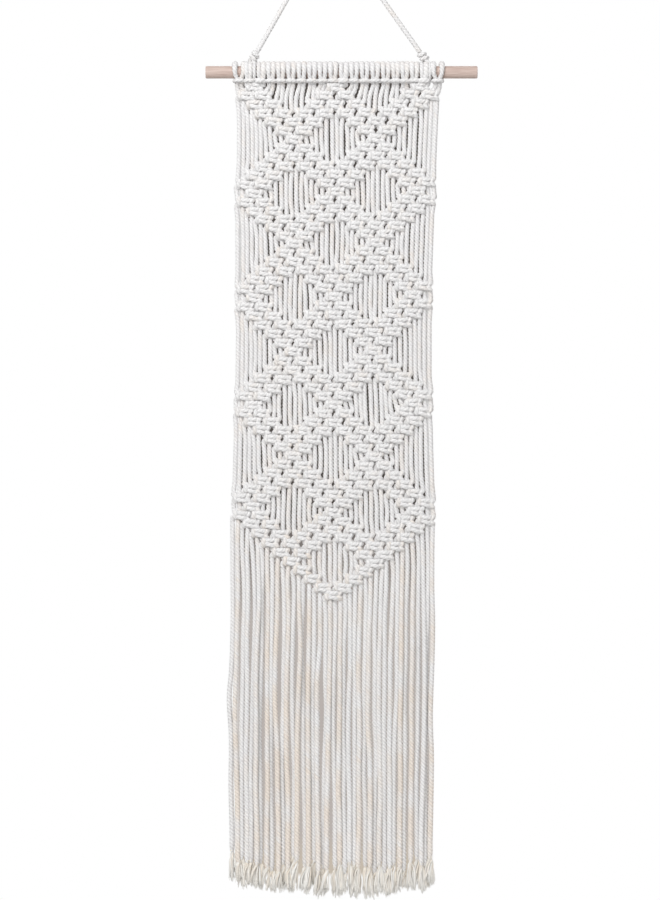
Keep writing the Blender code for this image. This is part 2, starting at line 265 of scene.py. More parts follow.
class CordMesh:
    """Gathers plied cords, each along its line in millimetres, into one mesh."""

    def __init__(self):
        self.places = []
        self.faces = []
        self.lays = []
        self.tones = []
        self.grooves = []
        self.count = 0

    def add(self, line, tone_at, starts_at=0.0, radius=CORD_RADIUS, open_lay=DRAWN_TIGHT):
        """Adds a stretch of cord, which starts so far along its lay. Its tone, its radius and
        how open its grooves are may change from point to point."""
        steps = np.linalg.norm(np.diff(line, axis=0), axis=1)
        along_cord = starts_at + np.concatenate([[0], np.cumsum(steps)])
        sides, ups = carried_frames(line)
        corner = np.arange(SIDES)
        turn = 2 * math.pi * (corner[None, :] / SIDES - along_cord[:, None] / LAY_LENGTH)
        groove = np.broadcast_to(open_lay, len(line))[:, None] * (corner % PLY_SIDES == 0)
        reach = np.broadcast_to(radius, len(line))[:, None] - GROOVE_DEPTH * groove
        out = np.cos(turn)[..., None] * sides[:, None] + np.sin(turn)[..., None] * ups[:, None]
        rings = line[:, None] + out * reach[..., None]
        self.places.append(rings.reshape(-1, 3) * MM)
        self.tones.append(np.repeat(np.broadcast_to(tone_at, len(line)), SIDES))
        self.grooves.append(groove.ravel())
        first = self.count
        for ring in range(len(line) - 1):
            here = first + ring * SIDES
            beyond = here + SIDES
            low, high = along_cord[ring], along_cord[ring + 1]
            for side in range(SIDES):
                after = (side + 1) % SIDES
                self.faces.append((here + side, here + after, beyond + after, beyond + side))
                self.lays += [(side, low), (side + 1, low), (side + 1, high), (side, high)]
        last = first + (len(line) - 1) * SIDES
        self.faces.append(tuple(range(first + SIDES - 1, first - 1, -1)))
        self.lays += [(side, along_cord[0]) for side in range(SIDES)]
        self.faces.append(tuple(range(last, last + SIDES)))
        self.lays += [(side, along_cord[-1]) for side in range(SIDES)]
        self.count += len(line) * SIDES

    def make(self, name, finish):
        """The finished piece, riding on the one body."""
        mesh = bpy.data.meshes.new(name)
        mesh.from_pydata(np.vstack(self.places).tolist(), [], self.faces)
        uv = mesh.uv_layers.new(name="lay")
        lays = np.array(self.lays, float) / (SIDES, LAY_LENGTH)
        uv.data.foreach_set("uv", lays.ravel())
        tones = mesh.attributes.new("tone", "FLOAT", "POINT")
        tones.data.foreach_set("value", np.concatenate(self.tones))
        grooves = mesh.attributes.new("groove", "FLOAT", "POINT")
        grooves.data.foreach_set("value", np.concatenate(self.grooves))
        mesh.shade_smooth()
        mesh.materials.append(finish)
        piece = bpy.data.objects.new(name, mesh)
        bpy.context.scene.collection.objects.link(piece)
        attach(piece, "root")
        return piece


HANGER_ROUTE = [  # (right, back, up) from the hook, in mm
    (-89.0, 0, -141.6),
    (-69.7, 0, -107.7),
    (-49.9, 0, -72.9),
    (-30.1, 0, -38.2),
    (-17.8, 0, -16.4),
    (-10.3, 0, -3.4),
    (-6.0, 0, 0.9),
    (0.0, 0, 2.5),
    (5.6, 0, 1.1),
    (9.8, 0, -2.5),
    (18.5, 0, -14.8),
    (35.8, 0, -39.2),
    (59.0, 0, -71.8),
    (82.2, 0, -104.5),
    (108.9, 0, -142.1),
]
HANGER_TONE = 1.0  # on the same scale as the strands' tones, from cool to warm
HANGER_RADIUS = 3.0  # mm
FINE_SPACING = 1.65  # mm between the rings of the mesh

hanger_line = smooth_line(HANGER_ROUTE, FINE_SPACING)
hanger_mesh = CordMesh()
hanger_mesh.add(hanger_line, HANGER_TONE, radius=HANGER_RADIUS)
hanger = hanger_mesh.make("hanger", cotton)
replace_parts(hanger, "hanger_cord")


# ---- Hanger knots -----------------------------------------------------------------------
# Each end of the hanger cord goes round the rod, comes up again and is wound twice round
# its own standing part, then tucked in.

rod_low, rod_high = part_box("wooden_rod")
ROD_RADIUS = round(float(rod_high[2] - rod_low[2]) / 2 / MM, 1)  # mm
ROD_DROP = round(float(rod_high[2] + rod_low[2]) / -2 / MM, 1)  # mm, its axis below the hook
WRAP_RADIUS = ROD_RADIUS + 2.5  # of a cord's middle, where it is wound tight on the rod
WINDING_STARTS = -60  # degrees round the standing part
WINDING_TURNS = 760  # degrees
WINDING_LENGTH = 11.2  # mm that the turns take up along the standing part
WINDING_REACH = 3.7  # mm, of the wound cord's middle from the standing part's
WINDING_STEPS = 20
WINDING_RADIUS = 2.5  # mm, of the cord where it is wound tight
TAIL_LENGTH = 5.0  # mm, of the standing part below the knot's middle
LOOP_STARTS = 195  # degrees round the rod, from its underside by way of its back
LOOP_STEP = 33  # degrees
LOOP_POINTS = 11
LOOP_RADIUS = 2.35  # mm, of the cord where it is squeezed between two hitches
LOOP_LEAVES = 3.0  # mm below the knot's middle
LOOP_DEPTH = 2.0  # mm, before and behind the standing part


def hanger_knot(name, node_name, route_end, route_next, loop_x):
    """A wound knot on the line from the cord's end, with its loop round the rod."""
    low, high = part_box(node_name)
    middle = np.array((low + high) / 2) / MM
    axis = np.array(route_next, float) - middle
    axis /= np.linalg.norm(axis)
    across = np.cross(axis, (0.0, 1.0, 0.0))
    across /= np.linalg.norm(across)
    winding = []
    for step in range(WINDING_STEPS + 1):
        share = step / WINDING_STEPS
        angle = math.radians(WINDING_STARTS + WINDING_TURNS * share)
        around = across * math.cos(angle) + np.array((0.0, -1.0, 0.0)) * math.sin(angle)
        winding.append(middle + axis * WINDING_LENGTH * (0.5 - share) + around * WINDING_REACH)
    loop = []
    for step in range(LOOP_POINTS):
        angle = math.radians(LOOP_STARTS + LOOP_STEP * step)
        y = WRAP_RADIUS * math.sin(angle)
        z = -ROD_DROP - WRAP_RADIUS * math.cos(angle)
        loop.append((loop_x, y, z))
    from_knot = middle - axis * LOOP_LEAVES
    loop = [from_knot + (0.0, -LOOP_DEPTH, 0.0)] + loop + [from_knot + (0.0, LOOP_DEPTH, 0.0)]
    core = [np.array(route_end), middle, middle - axis * TAIL_LENGTH]
    mesh = CordMesh()
    mesh.add(smooth_line(core, FINE_SPACING), HANGER_TONE)
    mesh.add(smooth_line(winding, FINE_SPACING), HANGER_TONE, radius=WINDING_RADIUS)
    mesh.add(smooth_line(loop, FINE_SPACING), HANGER_TONE, radius=LOOP_RADIUS)
    knot = mesh.make(name, cotton)
    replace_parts(knot, node_name)
    return knot


LEFT_LOOP = -92.3  # mm, where each loop lies on the rod
RIGHT_LOOP = 120.4
knot_pieces = [
    hanger_knot("left_knot", "hanger_knot_left", HANGER_ROUTE[0], HANGER_ROUTE[1], LEFT_LOOP),
    hanger_knot("right_knot", "hanger_knot_right", HANGER_ROUTE[-1], HANGER_ROUTE[-2], RIGHT_LOOP),
]


# ---- Heading ----------------------------------------------------------------------------
# Twenty cords are folded in two and hitched over the rod. Both halves of a cord lie side by
# side on the front of the rod and run down behind the fold, which is the bar in front. The
# fold's two ends go back under the rod, up behind it and over.

CORDS = 20
HITCH_EDGES = {  # hitch number: its left edge in mm, read in between
    0: -118.3,
    1: -104.1,
    2: -89.9,
    3: -78.0,
    5: -54.1,
    14: 60.6,
    15: 73.5,
    16: 84.6,
    17: 95.9,
    18: 107.8,
    19: 119.2,
    20: 136.5,
}
HITCH_BAR_DROP = 11.1  # mm
HITCH_BAR_FORWARD = 9.3  # mm
HITCH_GRIP = 0.9  # mm, how much nearer the fold holds the two halves to each other
LOOP_ROOM = 4.7  # mm, of the second hitch's place that the hanger's loop takes
END_SPREAD = 5.2  # mm, of each half of the first and last hitch from its middle, on the rod
END_PINCH = 2.5  # mm, the same behind the bar
END_MIDDLES = {0: -110.6, CORDS - 1: 130.0}  # mm, of those two hitches


def hitch_edge(number):
    """Where a hitch begins on the rod, in mm to the right."""
    return np.interp(number, list(HITCH_EDGES), list(HITCH_EDGES.values()))


def hitch_route(number):
    """One cord's way over the rod, from its left half to its right: x, y, drop and its grip,
    which is 1 where the cord is drawn tight and 0 where it is loose."""
    left, right = hitch_edge(number), hitch_edge(number + 1)
    if number == 1:
        right -= LOOP_ROOM
    middle = (left + right) / 2
    spread = (right - left) / 4
    pinch = spread - HITCH_GRIP
    if number in END_MIDDLES:
        middle = END_MIDDLES[number]
        spread, pinch = END_SPREAD, END_PINCH
    half = [
        (pinch, -1.6, 17.5),
        (pinch, -3.9, 14.4),
        (pinch, -5.3, 11.1),
        (pinch, -7.4, 8.0),
    ]
    for degrees in range(-60, -301, -30):
        angle = math.radians(degrees)
        freed = min(1.0, 1.15 - math.cos(angle))  # from the bar's grip, 0 to 1
        x = pinch + (spread - pinch) * freed
        half.append((x, WRAP_RADIUS * math.sin(angle), WRAP_RADIUS * math.cos(angle)))
    half.append((4.0, 5.0, 8.8))
    half.append((5.0, 0.0, 10.4))
    half.append((5.4, -4.6, 11.2))
    half.append((4.9, -HITCH_BAR_FORWARD + 1.8, HITCH_BAR_DROP))
    half.append((3.3, -HITCH_BAR_FORWARD + 0.2, HITCH_BAR_DROP))
    left_half = [(middle - x, y, drop, 1.0) for x, y, drop in half]
    right_half = [(middle + x, y, drop, 1.0) for x, y, drop in reversed(half)]
    return left_half + [(middle, -HITCH_BAR_FORWARD, HITCH_BAR_DROP, 1.0)] + right_half


# ---- Net --------------------------------------------------------------------------------
# The forty hanging strands are tied in left-facing square knots, each with two strands as
# its core and one on either side as its workers. The knots stand in double diagonal rows
# that cross, so that diamonds of loose strands are left between them.

STRANDS = 2 * CORDS
ROW_DROPS = {  # knot row: its drop in mm, read in between
    0: 18.5,
    6: 81.8,
    12: 145.4,
    18: 207.4,
    24: 272.6,
    30: 339.1,
    36: 403.8,
    42: 466.0,
    48: 531.0,
    54: 594.4,
    58: 635.3,
}
SIDE_EDGES = {  # drop: left and right edge of the cloth, in mm
    18.5: (-113.5, 133.2),
    94.4: (-114.1, 129.5),
    143.0: (-115.3, 127.7),
    191.6: (-114.7, 125.9),
    264.5: (-114.7, 123.4),
    398.2: (-115.9, 123.4),
    459.0: (-117.7, 124.7),
    525.7: (-119.6, 127.1),
    641.2: (-120.8, 128.3),
    762.7: (-123.2, 127.1),
    884.2: (-122.0, 125.9),
    944.9: (-120.8, 124.7),
    1010.0: (-122.5, 126.5),
}
SWAY = {  # knot row: how far left, middle and right hang aside and low, in mm
    0: (-4.8, -4.2, 0.4, 0.0, -0.2, -1.2),
    4: (-5.0, -3.8, -0.8, 0.4, -0.2, -1.8),
    9: (-3.0, -1.8, -0.8, 2.1, -0.2, -1.7),
    14: (-2.4, -0.4, 0.9, 3.1, 0.2, -0.7),
    21: (-2.1, -0.7, 0.4, 2.5, -0.2, -1.4),
    26: (-2.7, -1.2, -0.4, 1.4, 0.5, -2.4),
    33: (-2.9, -1.2, 0.0, 1.2, 0.5, -1.7),
    38: (-3.1, -0.3, 1.7, -0.3, 0.7, -1.9),
    45: (-0.8, -0.4, -0.3, -2.4, 2.8, 2.3),
    50: (-3.0, -1.1, 0.0, -4.1, 3.4, 1.6),
    54: (-3.0, -1.1, 0.4, -2.0, 1.5, 2.0),
    58: (-1.5, -1.5, -1.5, 0.0, 0.0, 0.0),
}
SWAY_STRANDS = (5.5, 19.5, 33.5)  # the left, middle and right place that SWAY tells of
ROWS = max(ROW_DROPS) + 1
PATTERN_ROWS = 12  # rows in one repeat of the diamonds
PATTERN_PAIRS = 8  # pairs of strands across one diamond
FIRST_CROSSING = 2  # the boundary where the first two diagonals of knots cross
DOUBLE_STEP = 2  # rows from each diagonal to the second one that runs beside it
POINT_STARTS = 48  # the row where the pointed lower edge begins
ROW_STEP = 10.6  # mm between rows, below the lowest one that the table gives


def last_knot_row(boundary):
    """The lowest row with a knot on a boundary, which steps down towards the middle."""
    return POINT_STARTS + max(1, min(boundary, CORDS - boundary))


def knotted(boundary, row):
    """True where the chart has a knot on the boundary between two pairs of strands."""
    if not (0 < boundary < CORDS and 0 <= row <= last_knot_row(boundary)):
        return False
    rows_off = min(row % PATTERN_ROWS, PATTERN_ROWS - row % PATTERN_ROWS)
    pairs_off = (boundary - FIRST_CROSSING) % PATTERN_PAIRS
    pairs_off = min(pairs_off, PATTERN_PAIRS - pairs_off)
    second = pairs_off == rows_off - DOUBLE_STEP and boundary not in (1, CORDS - 1)
    return pairs_off == rows_off or second


def net_place(strand, row):
    """Where a strand would hang in the cloth, level with a knot row, as x and drop."""
    drop = np.interp(row, list(ROW_DROPS), list(ROW_DROPS.values()))
    if row > max(ROW_DROPS):
        drop += (row - max(ROW_DROPS)) * ROW_STEP
    table = np.array(list(SWAY.values()))
    left, middle, right, low_left, low_middle, low_right = (
        np.interp(row, list(SWAY), column) for column in table.T
    )
    edges = np.array(list(SIDE_EDGES.values()))
    start, end = (np.interp(drop, list(SIDE_EDGES), column) for column in edges.T)
    start += CORD_RADIUS
    end -= CORD_RADIUS
    x = start + (end - start) * strand / (STRANDS - 1)
    x += np.interp(strand, (0, *SWAY_STRANDS, STRANDS - 1), (0, left, middle, right, 0))
    drop += np.interp(strand, SWAY_STRANDS, (low_left, low_middle, low_right))
    return x, drop


# One square knot as (right, back, up) from its middle, in mm, down each of its strands.
CORE_LEFT = [(-2.6, 0.2, 5.4), (-2.4, 0.3, 2.4), (-2.4, 0.3, -2.4), (-2.6, 0.2, -5.4)]
CORE_RIGHT = [(-x, y, z) for x, y, z in CORE_LEFT]
FRONT_WORKER = [  # comes in from the left, makes both bars in front, leaves on the left
    (-9.8, 0.4, 5.4),
    (-9.7, -0.2, 3.8),
    (-8.8, -1.5, 2.7),
    (-6.4, -3.1, 2.7),
    (-3.2, -4.6, 2.6),
    (1.0, -5.3, 2.5),
    (4.8, -4.5, 2.4),
    (6.5, -1.8, 2.1),
    (7.0, 0.6, -0.3),
    (6.5, -1.8, -2.8),
    (4.8, -4.5, -3.2),
    (1.0, -5.3, -2.9),
    (-3.2, -4.6, -2.3),
    (-6.4, -3.1, -2.1),
    (-8.8, -1.5, -2.7),
    (-9.7, -0.2, -3.8),
    (-9.8, 0.4, -5.4),
]
BACK_WORKER = [  # comes in from the right, goes behind the core, over the left end and back
    (9.8, -0.2, 5.4),
    (9.6, -2.2, 4.0),
    (8.4, -4.0, 3.1),
    (7.0, -3.4, 1.6),
    (6.0, -0.6, 1.4),
    (4.9, 2.8, 1.7),
    (2.0, 4.7, 2.2),
    (-2.0, 4.7, 2.6),
    (-4.9, 3.2, 3.0),
    (-6.4, 0.4, 3.7),
    (-6.8, -2.6, 3.2),
    (-6.8, -4.5, 1.5),
    (-6.8, -4.8, 0.0),
    (-6.8, -4.5, -1.5),
    (-6.8, -2.6, -3.2),
    (-6.4, 0.4, -3.7),
    (-4.9, 3.2, -3.0),
    (-2.0, 4.7, -2.6),
    (2.0, 4.7, -2.2),
    (4.9, 2.8, -1.7),
    (6.0, -0.6, -1.4),
    (7.0, -3.4, -1.6),
    (8.4, -4.0, -3.1),
    (9.6, -2.2, -4.0),
    (9.8, -0.2, -5.4),
]

KNOT_SHIFT = 0.35  # mm, how far a knot is off its place
KNOT_TILT = -5  # degrees: the pull of its worker draws a knot's right side down
TILT_SPREAD = 2.5  # degrees

random = np.random.default_rng(7)
knot_places = {}
for knot_row in range(ROWS):
    for boundary in range(1, CORDS):
        if knotted(boundary, knot_row):
            x, drop = net_place(2 * boundary - 0.5, knot_row)
            shift = random.normal(0, KNOT_SHIFT, 3)
            tilt = random.normal(math.radians(KNOT_TILT), math.radians(TILT_SPREAD))
            knot_places[boundary, knot_row] = (x + shift[0], shift[1], drop + shift[2], tilt)


def knot_route(boundary, row, role):
    """One strand's way through a knot: x, y, drop and the knot's grip."""
    x, y, drop, tilt = knot_places[boundary, row]
    route = []
    for right, back, up in (FRONT_WORKER, CORE_LEFT, CORE_RIGHT, BACK_WORKER)[role]:
        turned = right * math.cos(tilt) - up * math.sin(tilt)
        lifted = right * math.sin(tilt) + up * math.cos(tilt)
        route.append((x + turned, y + back, drop - lifted, 1.0))
    return route


# ---- Fringe -----------------------------------------------------------------------------
# Below the last knots the forty strands hang free to an uneven cut, one a little behind and
# the next a little in front. The last stretch of each is left to be combed out.

CUT_DROPS = {  # strand: the drop of its lower end, in mm
    0: 981,
    2: 989,
    6: 994,
    14: 994,
    16: 1000,
    22: 999,
    27: 1001,
    31: 999,
    34: 993,
    37: 996,
    39: 988,
}
CUT_UNEVEN = (-4, 3)  # mm, of one strand's cut from its neighbours'
BRUSH_LENGTHS = (21, 40)  # mm, the shortest and longest combed end
LOOSE_SHIFT = 0.5  # mm, how far a loose strand in a diamond lies aside
FRINGE_STEP = 50  # mm between the points of a hanging strand's route
FIRST_SHARE = (0.4, 0.7)  # of such a step, from the last knot to the first point
STEP_SHARE = (0.8, 1.2)  # of such a step, between two later points
END_ROOM = 10  # mm, the least from a point to the strand's end
FRINGE_WANDER = (0.9, 0.9)  # mm aside and in depth, how far it strays between two points
FRINGE_HOLD = 0.65  # how much of its stray a strand keeps from one point to the next
FRINGE_LAYERS = (1.4, 2.0)  # mm, the least and most that it lies behind or in front
LAYER_DROP = 120  # mm below its last knot, where it has reached that depth

strand_routes = []
brush_lengths = random.uniform(*BRUSH_LENGTHS, STRANDS)
for strand in range(STRANDS):
    pair = strand // 2
    route = []
    last_row = -1
    for row in range(ROWS):
        for boundary in (pair, pair + 1):
            if not knotted(boundary, row):
                continue
            aside = random.normal(0, LOOSE_SHIFT, 2)
            for between in range(last_row + 2, row - 1):
                x, drop = net_place(strand, between)
                route.append((x + aside[0], aside[1], drop, 0.0))
            route += knot_route(boundary, row, strand - 2 * boundary + 2)
            last_row = row
    cut = np.interp(strand, list(CUT_DROPS), list(CUT_DROPS.values()))
    cord_end = cut + random.uniform(*CUT_UNEVEN) - brush_lengths[strand]
    last_knot = route[-1][2]
    drop = last_knot + FRINGE_STEP * random.uniform(*FIRST_SHARE)
    wander = np.zeros(2)
    deep = random.uniform(*FRINGE_LAYERS) * (-1) ** strand
    while drop < cord_end - END_ROOM:
        wander = FRINGE_HOLD * wander + random.normal(0, FRINGE_WANDER)
        x, _ = net_place(strand, POINT_STARTS + (drop - ROW_DROPS[POINT_STARTS]) / ROW_STEP)
        layer = deep * min(1.0, (drop - last_knot) / LAYER_DROP)
        route.append((x + wander[0], wander[1] + layer, drop, 0.0))
        drop += FRINGE_STEP * random.uniform(*STEP_SHARE)
    route.append((x + wander[0], wander[1] + layer, cord_end, 0.0))
    strand_routes.append(route)


# ---- Settling the cords -----------------------------------------------------------------
# Tied cords press on each other and can't share the same space. All twenty are settled
# together: pushed apart where they touch, held to their length, and kept off the rod.

SETTLE_SPACING = 2.4  # mm between the points that are moved
CONTACT_LOOSE = 5.3  # mm between the middles of two loose cords that touch
CONTACT_TIGHT = 3.7  # the same where they are drawn tight in a knot
NEAR_MARGIN = 1.0  # mm, how much farther apart than touching two points are still watched
NEAR_POINTS = 4  # along one cord, too near each other to count as touching
SETTLE_STEPS = 90
LOOK_EVERY = 6  # steps, after which the touching points are looked for again
KEEP_LOOSE = 0.03  # of the way back to its laid-out place, that a loose point goes in a step
KEEP_TIGHT = 0.18  # the same in a knot
PUSH = 0.3  # of their overlap, that each of two touching points gives way in a step
PULL = 0.25  # of a stretch, that each of two linked points takes back in a step
STIFFNESS = 0.08  # of the way to the middle of its neighbours, that a point goes in a step
LONGEST_MOVE = 0.8  # mm in a step
LEAST_DISTANCE = 0.1  # mm, the least that two points are taken to be apart


def close_pairs(points, reach):
    """Index pairs of all points nearer to each other than reach, found by a grid of cells."""
    cells = np.floor((points - points.min(0)) / reach).astype(np.int64) + 1
    size = cells.max(0) + 2
    keys = (cells[:, 0] * size[1] + cells[:, 1]) * size[2] + cells[:, 2]
    order = np.argsort(keys, kind="stable")
    ranked = keys[order]
    found = []
    for offset in range(27):  # each cell and those round it
        step = np.array([offset // 9 - 1, offset // 3 % 3 - 1, offset % 3 - 1])
        wanted = keys + (step[0] * size[1] + step[1]) * size[2] + step[2]
        start = np.searchsorted(ranked, wanted, "left")
        counts = np.searchsorted(ranked, wanted, "right") - start
        first = np.repeat(np.arange(len(points)), counts)
        within = np.arange(counts.sum()) - np.repeat(np.cumsum(counts) - counts, counts)
        second = order[np.repeat(start, counts) + within]
        once = first < second
        first, second = first[once], second[once]
        near = np.linalg.norm(points[first] - points[second], axis=1) < reach
        found.append((first[near], second[near]))
    return (np.concatenate([pair[side] for pair in found]) for side in (0, 1))


cord_lines = []
for number in range(CORDS):
    whole = strand_routes[2 * number][::-1] + hitch_route(number) + strand_routes[2 * number + 1]
    route = [(x, y, -ROD_DROP - drop, grip) for x, y, drop, grip in whole]
    cord_lines.append(smooth_line(route, SETTLE_SPACING))

points = np.vstack(cord_lines)
grips = np.clip(points[:, 3], 0, 1)
points = points[:, :3].copy()
keep = (KEEP_LOOSE + (KEEP_TIGHT - KEEP_LOOSE) * grips)[:, None]
girth = CONTACT_LOOSE + (CONTACT_TIGHT - CONTACT_LOOSE) * grips
owner = np.repeat(np.arange(CORDS), [len(line) for line in cord_lines])
rest = points.copy()
linked = np.flatnonzero(owner[1:] == owner[:-1])
inner = np.flatnonzero((owner[2:] == owner[:-2])) + 1
spacing = np.linalg.norm(points[linked + 1] - points[linked], axis=1)
for step in range(SETTLE_STEPS):
    if step % LOOK_EVERY == 0:
        first, second = close_pairs(points, CONTACT_LOOSE + NEAR_MARGIN)
        apart = (owner[first] != owner[second]) | (second - first > NEAR_POINTS)
        first, second = first[apart], second[apart]
    moves = keep * (rest - points)
    gap = points[second] - points[first]
    distance = np.maximum(np.linalg.norm(gap, axis=1), LEAST_DISTANCE)
    overlap = np.maximum((girth[first] + girth[second]) / 2 - distance, 0)
    pushed = gap * (PUSH * overlap / distance)[:, None]
    for axis in range(3):
        moves[:, axis] -= np.bincount(first, pushed[:, axis], len(points))
        moves[:, axis] += np.bincount(second, pushed[:, axis], len(points))
    along = points[linked + 1] - points[linked]
    length = np.linalg.norm(along, axis=1)
    pull = along * (PULL * (length - spacing) / length)[:, None]
    moves[linked] += pull
    moves[linked + 1] -= pull
    moves[inner] += STIFFNESS * ((points[inner - 1] + points[inner + 1]) / 2 - points[inner])
    reach = np.maximum(np.linalg.norm(moves, axis=1), LONGEST_MOVE)
    points += moves * (LONGEST_MOVE / reach)[:, None]
    from_rod = points[:, 1:] + (0, ROD_DROP)
    radius = np.linalg.norm(from_rod, axis=1)
    inside = radius < WRAP_RADIUS
    points[inside, 1:] += from_rod[inside] * (WRAP_RADIUS / radius[inside] - 1)[:, None]
settled = np.column_stack([points, grips])
settled = [settled[owner == number] for number in range(CORDS)]


# ---- The cords as pieces ----------------------------------------------------------------
# The settled cords are the same three-ply cotton from end to end: flattened in the hitches,
# full in the net and loosened in the fringe. The heading is one piece, the net is four side
# by side, and the fringe is two.

HEADING_ENDS = 15.0  # mm, the drop where the heading gives way to the net
HEADING_GIRTHS = {  # along the cord from the fold: its radius, flattened on the rod, all in mm
    6: 2.6,
    16: 3.4,
    26: 3.8,
    50: 3.8,
    58: 3.3,
    64: 2.75,
    72: 2.85,
}
NET_RADIUS = 2.95  # mm
KNOT_RADIUS = 3.0  # bulging between the turns of a knot
FRINGE_RADIUS = 3.5  # loosened, near its end
GIRTH_DROPS = (14, 600, 950)  # mm, from the heading through the net to the fringe's end
LAY_OPENS = (600, 760)  # mm, the drops where the plies begin to loosen and where they are loose
TIP_TAPER = 7  # mm that the cord narrows over towards its combed end
TIP_GIRTH = 0.6  # of its radius, that is left there
NET_TAIL = 7  # mm below a cord's last knots that still count as the net
FRONT_TONES = (0.85, 2.0)  # of the strands that lie forward, from cool to warm
# Strands that lie back take low tones, which paint them a greyer shade.
BACK_TONES = (0.25, 0.75)  # of those that lie back
MIDDLE_TONE = 0.95
TONE_DROPS = (450, 950)  # mm, between which the strands' tones part
TONE_SHARES = (0.15, 1.0)  # how much of their difference shows at those drops
AIM_POINTS = 5  # from a cord's end, to tell which way it points

NET_PIECES = 4
FRINGE_PIECES = 2
pieces = {"heading": CordMesh()}
pieces |= {f"net_{number + 1}": CordMesh() for number in range(NET_PIECES)}
pieces |= {f"fringe_{number + 1}": CordMesh() for number in range(FRINGE_PIECES)}
strand_tone = random.uniform(*FRONT_TONES, STRANDS)
strand_tone[0::2] = random.uniform(*BACK_TONES, CORDS)
brush_starts = []
for number, line in enumerate(settled):
    line = smooth_line(line, FINE_SPACING)
    grip = line[:, 3]
    line = line[:, :3]
    drop = -ROD_DROP - line[:, 2]
    heading = np.flatnonzero(drop < HEADING_ENDS)
    top, bottom = heading[0], heading[-1]
    left_half = np.arange(len(line)) < (top + bottom) / 2
    own_tone = np.where(left_half, strand_tone[2 * number], strand_tone[2 * number + 1])
    tones = 1.0 + (own_tone - MIDDLE_TONE) * np.interp(drop, TONE_DROPS, TONE_SHARES)
    girths = np.interp(drop, GIRTH_DROPS, (NET_RADIUS, NET_RADIUS, FRINGE_RADIUS))
    girths += (KNOT_RADIUS - NET_RADIUS) * grip
    open_lay = np.interp(drop, LAY_OPENS, (DRAWN_TIGHT, 1.0))
    from_fold = np.abs(np.arange(len(line)) - (top + bottom) / 2) * FINE_SPACING
    wrapped = np.interp(from_fold, list(HEADING_GIRTHS), list(HEADING_GIRTHS.values()))
    girths = np.where(drop < HEADING_ENDS, wrapped, girths)
    from_tip = np.minimum(np.arange(len(line)), np.arange(len(line))[::-1]) * FINE_SPACING
    girths *= np.interp(from_tip, (0, TIP_TAPER), (TIP_GIRTH, 1.0))
    lowest_row = max(last_knot_row(number), last_knot_row(number + 1))
    _, edge = net_place(2 * number + 0.5, lowest_row)
    edge += NET_TAIL
    left_end = np.flatnonzero(drop[:top] > edge)[-1]
    right_end = bottom + np.flatnonzero(drop[bottom:] < edge)[-1]
    net = pieces[f"net_{number * NET_PIECES // CORDS + 1}"]
    fringe = pieces[f"fringe_{number * FRINGE_PIECES // CORDS + 1}"]
    for gathered, start, end in (
        (fringe, 0, left_end),
        (net, left_end, top),
        (pieces["heading"], top, bottom),
        (net, bottom, right_end),
        (fringe, right_end, len(line) - 1),
    ):
        stretch = slice(start, end + 1)
        gathered.add(
            line[stretch],
            tones[stretch],
            start * FINE_SPACING,
            girths[stretch],
            open_lay[stretch],
        )
    brush_starts.append((line[0], line[0] - line[AIM_POINTS]))
    brush_starts.append((line[-1], line[-1] - line[-1 - AIM_POINTS]))

stands_for = {"heading": "heading", "net": "knotted_panel", "fringe": "fringe"}
for name, gathered in pieces.items():
    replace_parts(gathered.make(f"cord_{name}", cotton), stands_for[name.split("_")[0]])


# ---- Brushed tips -----------------------------------------------------------------------
# Each strand's end is untwisted and combed out, so that its soft cotton yarns spread like a
# small brush. They cling together in locks and were cut by hand, and so are uneven.

LOCKS = 12  # in each tip
YARNS = 8  # in each lock
YARN_RADIUS = 0.55  # mm, thicker than a real yarn, because there are fewer
YARN_THINS = 0.5  # of that radius, lost by the yarn's end
YARN_STEPS = 7
YARN_SIDES = 3
YARN_GRIP = 8  # mm that a yarn still lies along the cord
ROOT_SPREAD = 2.3  # mm, of a tip where it leaves the cord
FLARE_ASIDE = (5.4, 8.6)  # mm, the least and most that a tip spreads by its end, sideways
FLARE_DEEP = (2.4, 3.8)  # mm, the same from front to back
FLARE_CURVE = 0.6  # below 1, so that it spreads most near its root
UNTWIST = 4.0  # mm over which the plies' turn dies out
TIP_LEAN = 0.7  # of the cord's own slant, that its tip keeps
LEAN_SPREAD = 0.08  # of that slant, from tip to tip
LOCK_WAVE = 1.8  # mm, how far a lock sways from its way
LOCK_BENDS = (2.5, 6.0)  # radians of that sway from root to end
LOCK_UNEVEN = (-5.5, 2.0)  # mm, of a lock's length
OUTER_SHORT = 3.0  # mm, how much shorter the outermost locks are
YARN_UNEVEN = (-3.0, 1.0)  # mm, of a yarn's length within its lock
YARN_STRAY = 0.5  # mm, of a yarn from its lock's middle
STRAY_GROWS = (0.5, 0.9)  # of that stray, at the root, and what the end adds
TONE_FADE = 0.7  # below 1, so that a lock's tone fades late
tip_places = []
tip_faces = []
tip_tones = []
